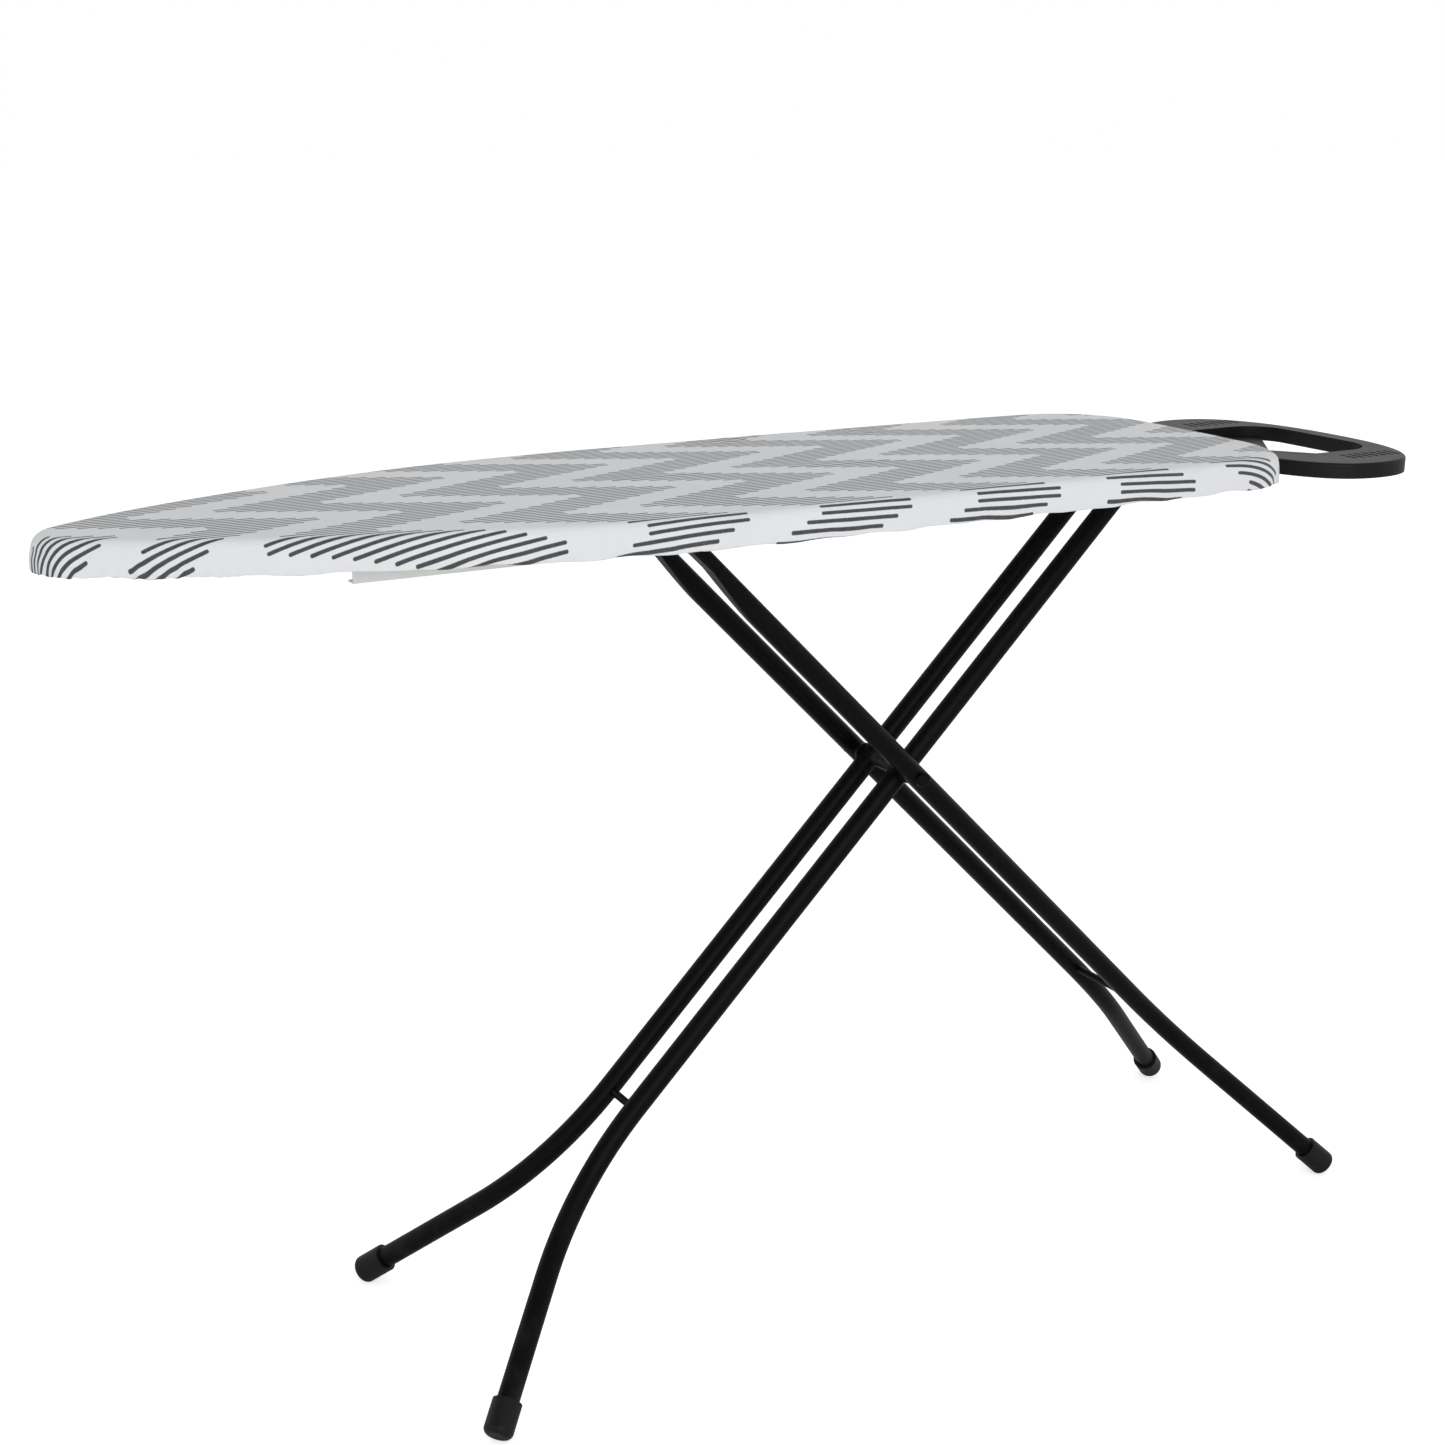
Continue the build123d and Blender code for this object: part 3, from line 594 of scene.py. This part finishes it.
def cover_cloth():
    """Printed cotton: dashes with round ends on parallel lines, shifted line by line.

    The distance to a dash's middle stroke is worked out along and across the line, and is
    inked up to half the line's width. The ground is a plain weave with slubs.
    """
    scene = bpy.context.scene
    size, ink = scene.irb_pattern, scene.irb_finish
    shader = Shader.material("printed_cotton")
    x, y = shader.flat()
    place = shader.place()
    wobble = shader.noise(place, 0.045, 1.0) - 0.5
    waver, bleed, soft = 0.0007, 0.0005, 0.00025
    line = (y + x * size.skew - size.across + wobble * waver) / size.pitch
    row = line.floor()
    aside = abs(line - row - 0.5) * size.pitch
    turn = (size.lines - 0.5) - abs((row + 0.5) % (2.0 * size.lines) - size.lines)
    along = (x - y * size.skew - turn * size.step - size.along) % (size.dash + size.gap)
    middle = size.gap + size.dash / 2.0
    past = (abs(along - middle) - (size.dash / 2.0 - size.width / 2.0)).most(0.0)
    reach = (past * past + aside * aside).math("SQRT")
    edge = shader.noise(place, 0.0011, 2.0)
    half = size.width / 2.0
    printed = 1.0 - (reach + (edge - 0.5) * bleed).step_to(half - soft, half + soft)

    thread = 0.00062
    warp = (x * (2.0 * math.pi / thread)).sine()
    weft = (y * (2.0 * math.pi / thread)).sine()
    over = (x / thread).floor() + (y / thread).floor()
    weave = warp * weft * 0.5 + (over % 2.0) * 0.5
    slub = shader.noise(place, 0.004, 3.0)
    mottle = shader.noise(place, 0.09, 3.0)
    ground = shader.mix(mottle.step_to(0.3, 0.7), tone(ink.cloth), tone(ink.cloth, 0.955))
    ground = shader.mix(weave.clamped() * 0.10, ground, tone(ink.cloth, 0.72))
    ground = shader.mix(printed * (0.93 + 0.07 * slub), ground, tone(ink.print_ink))
    normal = shader.bump(weave * 0.6 + slub * 0.4, 0.00022, 0.55)
    return shader.finish({
        "Base Color": ground, "Roughness": 0.80 + 0.12 * slub - 0.10 * printed,
        "Normal": normal, "Sheen Weight": 0.18, "Sheen Roughness": 0.45,
        "Specular IOR Level": 0.35})


def build_string():
    """Drawstring: a circle carried round the outline moved in, on a braid's wavy radius."""
    scene = bpy.context.scene
    low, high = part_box("cover_drawstring")
    radius = (high.z - low.z) / 2.0
    inset = low.x - COVER_LOW.x + radius
    loop, out, distance = board_outline(scene.irb_plan, 0.0045, 0.006)
    centre = loop - out * inset
    turn = np.linspace(0.0, 2.0 * np.pi, 15)[:-1]
    lobes = 1.0 - 0.06 * np.cos(3.0 * turn + 2.0 * np.pi * distance[:, None] / BRAID_PITCH)
    aside = radius * np.cos(turn) * lobes
    rise = radius * np.sin(turn) * lobes
    rings = np.concatenate([centre[:, None] + out[:, None] * aside[..., None],
                            (low.z + radius + rise)[..., None]], axis=-1)
    flat = np.stack(np.broadcast_arrays(distance[:, None], turn * radius), axis=-1)
    rings = np.concatenate([rings, rings[:1]])
    flat = np.concatenate([flat, flat[:1]])
    made = grid_mesh("drawstring", rings, flat)
    merge_close(made)
    face_outwards(made)
    return made


def drawstring_cord():
    """Braided cotton cord: two crossing helices of yarn on the surface; painted shade between yarns.
    """
    ink = bpy.context.scene.irb_finish
    shader = Shader.material("braided_cotton_cord")
    place = shader.place()
    x, y, z = shader.split(place)
    around = 2.0 * math.pi / YARN_PITCH
    first = ((x + y + z) * around).sine()
    second = ((x - y - z) * around).sine()
    braid = abs(first) * 0.5 + abs(second) * 0.5
    fuzz = shader.noise(place, 0.0012, 3.0)
    # painted shade: the cord is darkened where the braid sinks between the yarns, in step with the
    # bump
    tint = shader.mix(braid.clamped(), tone(ink.cord, 0.6), tone(ink.cord))
    return shader.finish({
        "Base Color": tint, "Roughness": 0.86 + 0.1 * fuzz,
        "Normal": shader.bump(braid + 0.3 * fuzz, 0.0004, 0.8), "Sheen Weight": 0.2})


def build_pad():
    """Foam slab: rows from the middle line to a rolled upper edge, down the side and back.

    The edge is an arc of the cover's own roll, cut off where it meets the slab's underside.
    """
    low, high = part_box("pad")
    inset = low.x - COVER_LOW.x
    loop, out, distance = board_outline(bpy.context.scene.irb_plan, 0.004, 0.009)
    roll = edge_radius(distance) - inset
    ending = np.arccos(1.0 - np.minimum((high.z - low.z) / roll, 1.0))
    spine = middle_line(loop)
    inner = loop - out * (inset + roll)[:, None]
    inward = np.linspace(0.0, 1.0, 12)[:, None, None]
    top = spine * (1.0 - inward) + inner * inward
    turned = np.linspace(0.0, 1.0, 8)[1:, None] * ending
    side = inner[None] + out[None] * (roll * np.sin(turned))[..., None]
    back = inward[-2::-1]
    base = side[-1:] * back + spine[None] * (1.0 - back)
    plan = np.concatenate([top, side, base])
    rise = np.concatenate([np.full(top.shape[:2], high.z), high.z - roll * (1.0 - np.cos(turned)),
                           np.full(base.shape[:2], low.z)])
    made = grid_mesh("foam_pad", np.concatenate([plan, rise[..., None]], axis=-1))
    merge_close(made)
    face_outwards(made)
    return made


def pad_foam():
    """Felted foam: pale fibres, with painted shade in the small pores."""
    ink = bpy.context.scene.irb_finish
    shader = Shader.material("felted_foam")
    place = shader.place()
    pores = shader.cells(place, 0.0016)
    lumps = shader.noise(place, 0.02, 3.0)
    # painted shade: the foam is darkened towards the middle of each pore, where the bump sinks in
    tint = shader.mix(pores.step_to(0.1, 0.7), tone(ink.foam, 0.62), tone(ink.foam))
    tint = shader.mix(lumps * 0.25, tint, tone(ink.foam, 0.85))
    return shader.finish({
        "Base Color": tint, "Roughness": 0.9 + 0.08 * lumps,
        "Normal": shader.bump(pores, 0.0008, 0.8), "Sheen Weight": 0.1})


def leg_path(down, side, bend, turn, top_run, straight, splay):
    """Centre line: straight, circular arc, straight, as points, tangents and distances.

    Points are counted from the crossing bolt and distances from the tube's top; the arc
    leaves the leg's line towards side.
    """
    origin = -top_run * down
    bend_point = straight * down
    arc_turn = np.linspace(0.0, turn, 22)[:, None]
    on_arc = bend_point + bend * (np.sin(arc_turn) * down + (1.0 - np.cos(arc_turn)) * side)
    arc_way = np.cos(arc_turn) * down + np.sin(arc_turn) * side
    first = np.linspace(0.0, 1.0, 90)[:-1, None]
    last = np.linspace(0.0, 1.0, 24)[1:, None]
    head = origin + (bend_point - origin) * first
    end_way = arc_way[-1]
    tail = on_arc[-1] + end_way * splay * last
    points = np.concatenate([head, on_arc, tail])
    ways = np.concatenate([np.broadcast_to(down, head.shape), arc_way,
                           np.broadcast_to(end_way, tail.shape)])
    steps = np.linalg.norm(np.diff(points, axis=0), axis=1)
    return points, ways, np.concatenate([[0.0], np.cumsum(steps)])


def build_leg(node, bar, bend, turn, press):
    """Bent steel tube from its top bar, past the crossing bolt, to inside its foot cap.

    A circle is carried along the centre line. Near the top its lower side is pressed flat:
    the circle's depth is held below a limit that falls in a straight line towards the bar
    and leaves the bar covered, with the flat's two edges rounded. The last rows turn over
    the open top's rim and run a little way down the bore.
    """
    size = bpy.context.scene.irb_legs
    low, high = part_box(node)
    sign = 1.0 if low.y > 0.0 else -1.0
    inner_side = low.y if sign > 0.0 else high.y
    offset = inner_side + sign * size.radius
    pivot = np.array([PIVOT.x, offset, PIVOT.z])
    start = np.array([bar.x, offset, bar.z])
    down = (pivot - start) / np.linalg.norm(pivot - start)
    side = np.array([0.0, sign, 0.0])
    slope, fall = -down[2], -down[2] * math.cos(turn)
    end_z = low.z + size.radius * math.sqrt(1.0 - fall ** 2)
    splay = (pivot[2] - slope * (size.straight + bend * math.sin(turn)) - end_z) / fall
    top_run = np.linalg.norm(pivot - start) + size.overhang
    points, ways, run = leg_path(down, side, bend, turn, top_run, size.straight, splay)

    taper, kept_at_bar = 0.62 * size.press_start, 0.42
    pressed = np.clip((size.overhang + size.press_start - run) / taper, 0.0, 1.0)
    at_bar = 1.0 - smooth(run, size.overhang + size.radius, size.overhang + 3.0 * size.radius)
    limit = size.radius - press * pressed * (1.0 - kept_at_bar * at_bar)

    rim, bore = 0.0003, size.radius - size.wall
    rim_radii, bore_rows = [size.radius - rim, bore + rim], [0, 3, 8]
    order = np.array([*range(len(run))[::-1], 0, 0, *bore_rows])
    radii = np.array([size.radius] * len(run) + rim_radii + [bore] * len(bore_rows))
    nudge = np.zeros(len(order))
    nudge[len(run):len(run) + len(rim_radii)] = -rim

    ring = np.linspace(0.0, 2.0 * np.pi, 41)[:-1]
    round_edge = 0.0007
    held = (limit[order] - (size.radius - radii))[:, None]
    depth = radii[:, None] * np.cos(ring)
    depth = held - round_edge * np.logaddexp(0.0, (held - depth) / round_edge)
    width = radii[:, None] * np.sin(ring)
    lower = np.array([-abs(down[2]) * np.sign(down[0]), 0.0, -abs(down[0])])
    across = np.cross(lower, ways)
    centre = pivot + points[order] + ways[order] * nudge[:, None]
    shape = (centre[:, None] + lower * depth[..., None]
             + across[order][:, None] * width[..., None])
    made = grid_mesh(node + "_tube", shape, poles=True)
    face_outwards(made)
    return made


def powder_coat():
    """Black powder coat: satin, faint orange peel and a little dust low down."""
    ink = bpy.context.scene.irb_finish
    shader = Shader.material("black_powder_coat")
    place = shader.place()
    peel = shader.noise(place, 0.0016, 2.0)
    handling = shader.noise(place, 0.06, 4.0, 0.6)
    height = shader.split(place)[2]
    dust = (1.0 - height.step_to(0.02, 0.16)) * handling.step_to(0.45, 0.75)
    tint = shader.mix(handling.step_to(0.35, 0.8) * 0.5, tone(ink.frame), tone(ink.frame, 1.5))
    tint = shader.mix(dust * 0.22, tint, tone(ink.dust))
    return shader.finish({
        "Base Color": tint, "Roughness": 0.33 + 0.10 * handling + 0.15 * dust,
        "Normal": shader.bump(peel, 0.00012, 0.35), "Specular IOR Level": 0.07})


def deck_enamel():
    """White enamel on pressed steel, a little duller in patches."""
    ink = bpy.context.scene.irb_finish
    shader = Shader.material("white_deck_enamel")
    place = shader.place()
    peel = shader.noise(place, 0.0022, 2.0)
    patches = shader.noise(place, 0.05, 4.0, 0.6)
    tint = shader.mix(patches.step_to(0.35, 0.7), tone(ink.deck), tone(ink.deck, 0.94))
    return shader.finish({
        "Base Color": tint, "Roughness": 0.42 + 0.14 * patches,
        "Normal": shader.bump(peel, 0.00015, 0.4)})


def zinc_plate():
    """Bright zinc plate: fine spangle, fine grain and cloudy roughness."""
    ink = bpy.context.scene.irb_finish
    shader = Shader.material("zinc_plate")
    place = shader.place()
    cloud = shader.noise(place, 0.012, 4.0, 0.6)
    spangle = shader.cells(place, 0.003)
    grain = shader.noise(place, 0.0007, 2.0)
    tint = shader.mix(cloud.step_to(0.35, 0.7), tone(ink.zinc), tone(ink.zinc, 0.78))
    tint = shader.mix(spangle.clamped() * 0.18, tint, tone(ink.zinc, 0.6))
    return shader.finish({
        "Base Color": tint, "Metallic": 1.0, "Roughness": 0.24 + 0.20 * cloud,
        "Normal": shader.bump(grain, 0.00006, 0.4)})


def moulded(name, base, rough, gloss, grain_size, grain_depth, scuff):
    """Moulded plastic: fine spark-eroded grain, slow colour drift and pale scuffs."""
    shader = Shader.material(name)
    place = shader.place()
    grain = shader.noise(place, grain_size, 2.0)
    drift = shader.noise(place, 0.05, 3.0)
    marks = shader.noise(place, 0.006, 5.0, 0.75).step_to(0.62, 0.74)
    tint = shader.mix(drift.step_to(0.35, 0.7), tone(base), tone(base, 1.18))
    tint = shader.mix(marks * scuff, tint, tone(base, 2.2))
    return shader.finish({
        "Base Color": tint, "Roughness": rough + 0.08 * drift + 0.12 * marks * scuff,
        "Normal": shader.bump(grain, grain_depth, 0.5), "Specular IOR Level": gloss})


# ---- operators ------------------------------------------------------------------------
class IRB_OT_cover(bpy.types.Operator):
    """Stretch the printed cloth over the board"""

    bl_idname = "irb.cover"
    bl_label = "Cloth cover"

    def execute(self, context):
        made, wide, long, area = build_cover()
        wall = made.modifiers.new("cloth_thickness", "SOLIDIFY")
        wall.thickness = context.scene.irb_cover.thickness
        wall.offset = -1.0
        dress(made, cover_cloth(), "board", "cover_cloth", "cover")
        return {"FINISHED"}


class IRB_OT_drawstring(bpy.types.Operator):
    """Lay the drawstring inside the cover's lip"""

    bl_idname = "irb.drawstring"
    bl_label = "Drawstring"

    def execute(self, context):
        dress(build_string(), drawstring_cord(), "board", "drawstring_cord", "cover_drawstring")
        return {"FINISHED"}


class IRB_OT_pad(bpy.types.Operator):
    """Lay the foam pad on the deck"""

    bl_idname = "irb.pad"
    bl_label = "Foam pad"

    def execute(self, context):
        made = build_pad()
        dress(made, pad_foam(), "board", "pad_foam", "pad")
        return {"FINISHED"}


class IRB_OT_legs(bpy.types.Operator):
    """Bend the four leg tubes and coat them and their braces"""

    bl_idname = "irb.legs"
    bl_label = "Leg tubes"

    def execute(self, context):
        size = context.scene.irb_legs
        coat = powder_coat()
        for node in ("inner_leg_near", "inner_leg_far"):
            made = build_leg(node, HINGE, size.inner_bend, size.inner_turn, size.inner_press)
            dress(made, coat, "inner_legs", "black_frame", node)
        for node in ("outer_leg_near", "outer_leg_far"):
            made = build_leg(node, SLIDER, size.outer_bend, size.outer_turn, size.outer_press)
            dress(made, coat, "outer_legs", "black_frame", node)
        paint(coat, "black_frame")
        return {"FINISHED"}


class IRB_OT_metal(bpy.types.Operator):
    """Paint the deck and plate the bars, bolts and lever"""

    bl_idname = "irb.metal"
    bl_label = "Painted and plated steel"

    def execute(self, context):
        paint(deck_enamel(), "deck_steel")
        paint(zinc_plate(), "zinc_steel")
        return {"FINISHED"}


class IRB_OT_plastic(bpy.types.Operator):
    """Give the iron rest, foot caps, lock and bushes their plastics"""

    bl_idname = "irb.plastic"
    bl_label = "Moulded plastic"

    def execute(self, context):
        ink = context.scene.irb_finish
        paint(moulded("charcoal_rest_plastic", ink.rest, rough=0.40, gloss=0.17,
                      grain_size=0.0009, grain_depth=0.00015, scuff=0.25), "rest_plastic")
        paint(moulded("black_plastic", ink.rubber, rough=0.46, gloss=0.20,
                      grain_size=0.0007, grain_depth=0.00015, scuff=0.5), "black_plastic")
        paint(moulded("white_nylon", ink.nylon, rough=0.38, gloss=0.5,
                      grain_size=0.0012, grain_depth=0.00006, scuff=0.0), "white_nylon")
        return {"FINISHED"}


class IRB_OT_stage(bpy.types.Operator):
    """Set the pale floor, soft studio light and camera"""

    bl_idname = "irb.stage"
    bl_label = "Floor, light and camera"

    def execute(self, context):
        scene = context.scene
        stage = scene.irb_stage
        self.floor(stage)
        scene.world = self.studio(stage)
        self.light("key_light", stage.key_place, stage.key_target, stage.key_size, stage.key)
        self.light("top_light", stage.top_place, stage.top_target, stage.top_size, stage.top)
        self.camera(scene, stage)
        scene.view_settings.view_transform = "Standard"
        return {"FINISHED"}

    def floor(self, stage):
        """Flat square at height 0, pale, with a glow that only the camera sees."""
        mesh = bpy.data.meshes.new("floor")
        reach = stage.reach
        mesh.from_pydata([(-reach, -reach, 0), (reach, -reach, 0), (reach, reach, 0),
                          (-reach, reach, 0)], [], [(0, 1, 2, 3)])
        plane = bpy.data.objects.new("floor", mesh)
        bpy.context.scene.collection.objects.link(plane)
        shader = Shader.material("pale_floor")
        drift = shader.noise(shader.place(), 0.6, 2.0)
        tint = shader.mix(drift, tone(stage.floor), tone(stage.floor, 0.995))
        seen = shader.value("ShaderNodeLightPath", {}, {}, "Is Camera Ray")
        glow = shader.mix(seen, tone(stage.floor, 0.0), tone(stage.floor))
        mesh.materials.append(shader.finish({
            "Base Color": tint, "Roughness": 0.9, "Emission Color": glow,
            "Emission Strength": stage.glow}))
        return plane

    def studio(self, stage):
        """Bright walls that fade to a dimmer ceiling, by the height of the direction."""
        shader = Shader(bpy.data.worlds.new("studio"))
        where = shader.value("ShaderNodeTexCoord", {}, {}, "Generated")
        light = shader.value("ShaderNodeMapRange", {"interpolation_type": "SMOOTHSTEP"}, {
            "Value": shader.split(where)[2], "From Min": 0.15, "From Max": 0.75,
            "To Min": stage.world, "To Max": stage.world * stage.ceiling})
        return shader.finish({"Color": (1.0, 1.0, 1.0, 1.0), "Strength": light},
                             "ShaderNodeBackground", "ShaderNodeOutputWorld")

    def light(self, name, place, target, size, power):
        """Square area light at place, turned to target."""
        data = bpy.data.lights.new(name, "AREA")
        data.shape, data.size, data.energy = "SQUARE", size, power
        made = bpy.data.objects.new(name, data)
        bpy.context.scene.collection.objects.link(made)
        way = np.array(target) - np.array(place)
        way /= np.linalg.norm(way)
        made.matrix_world = aim(place, way, 0.0)

    def camera(self, scene, stage):
        """Camera on a 36 mm sensor, turned about the upright axis, tilted down and rolled."""
        data = bpy.data.cameras.new("camera")
        data.sensor_width, data.lens = 36.0, stage.lens
        data.shift_y = stage.shift
        data.clip_end = 100.0
        made = bpy.data.objects.new("camera", data)
        scene.collection.objects.link(made)
        way = np.array([math.sin(stage.turn) * math.cos(stage.tilt),
                        math.cos(stage.turn) * math.cos(stage.tilt), -math.sin(stage.tilt)])
        made.matrix_world = aim(stage.camera, way, stage.roll)
        scene.camera = made


def aim(place, way, roll):
    """Matrix that looks along way from place, turned by roll about it."""
    right = np.cross(way, (0.0, 0.0, 1.0))
    right /= np.linalg.norm(right)
    up = np.cross(right, way)
    rolled = math.cos(roll) * right + math.sin(roll) * up
    above = -math.sin(roll) * right + math.cos(roll) * up
    matrix = np.eye(4)
    matrix[:3, 0], matrix[:3, 1], matrix[:3, 2], matrix[:3, 3] = rolled, above, -way, place
    return Matrix(matrix.tolist())


OPERATORS = (IRB_OT_pad, IRB_OT_cover, IRB_OT_drawstring, IRB_OT_legs, IRB_OT_metal,
             IRB_OT_plastic, IRB_OT_stage)


class IRB_PT_panel(bpy.types.Panel):
    """Lists the pieces and their sizes"""

    bl_idname = "IRB_PT_panel"
    bl_label = "Ironing board"
    bl_space_type = "VIEW_3D"
    bl_region_type = "UI"
    bl_category = "Ironing board"

    def draw(self, context):
        for operator in OPERATORS:
            self.layout.operator(operator.bl_idname)
        for name, group in GROUPS.items():
            box = self.layout.box()
            box.label(text=group.__doc__.split(":")[0])
            for key in group.__annotations__:
                box.prop(getattr(context.scene, name), key)


CLASSES = (*GROUPS.values(), *OPERATORS, IRB_PT_panel)


def register():
    for one in CLASSES:
        bpy.utils.register_class(one)
    for name, group in GROUPS.items():
        setattr(bpy.types.Scene, name, bpy.props.PointerProperty(type=group))


def unregister():
    for name in GROUPS:
        delattr(bpy.types.Scene, name)
    for one in reversed(CLASSES):
        bpy.utils.unregister_class(one)


def main():
    """Build every piece in order."""
    register()
    bpy.ops.irb.pad()
    bpy.ops.irb.cover()
    bpy.ops.irb.drawstring()
    bpy.ops.irb.legs()
    bpy.ops.irb.metal()
    bpy.ops.irb.plastic()
    bpy.ops.irb.stage()


if __name__ == "__main__":
    main()
